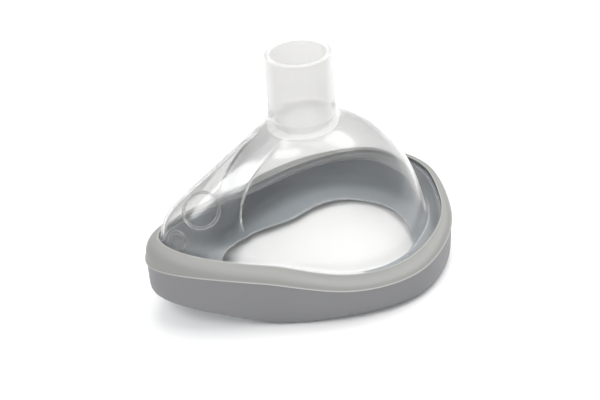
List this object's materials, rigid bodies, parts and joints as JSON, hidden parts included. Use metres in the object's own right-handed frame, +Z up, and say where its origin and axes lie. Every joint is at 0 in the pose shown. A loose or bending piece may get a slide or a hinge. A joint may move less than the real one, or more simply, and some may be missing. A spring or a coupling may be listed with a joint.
{
  "type": "anesthesia face mask",
  "caption": "Clear domed anesthesia face mask with a top connector, a pinched nose hood and a soft grey seal round its face opening.",
  "frame": {"origin": "on the table, under the middle of the mask's length, with the mask resting on its seal", "axes": "+X from the nose end to the chin end, +Y across the face, +Z up towards the connector"},
  "size_m": [0.1346, 0.1062, 0.1003],
  "materials": {
    "clear_shell": "clear moulded plastic, polished",
    "soft_seal": "soft grey elastomer, satin"
  },
  "bodies": {
    "root": {"shell": "clear_shell", "seal": "soft_seal"}
  },
  "joints": []
}
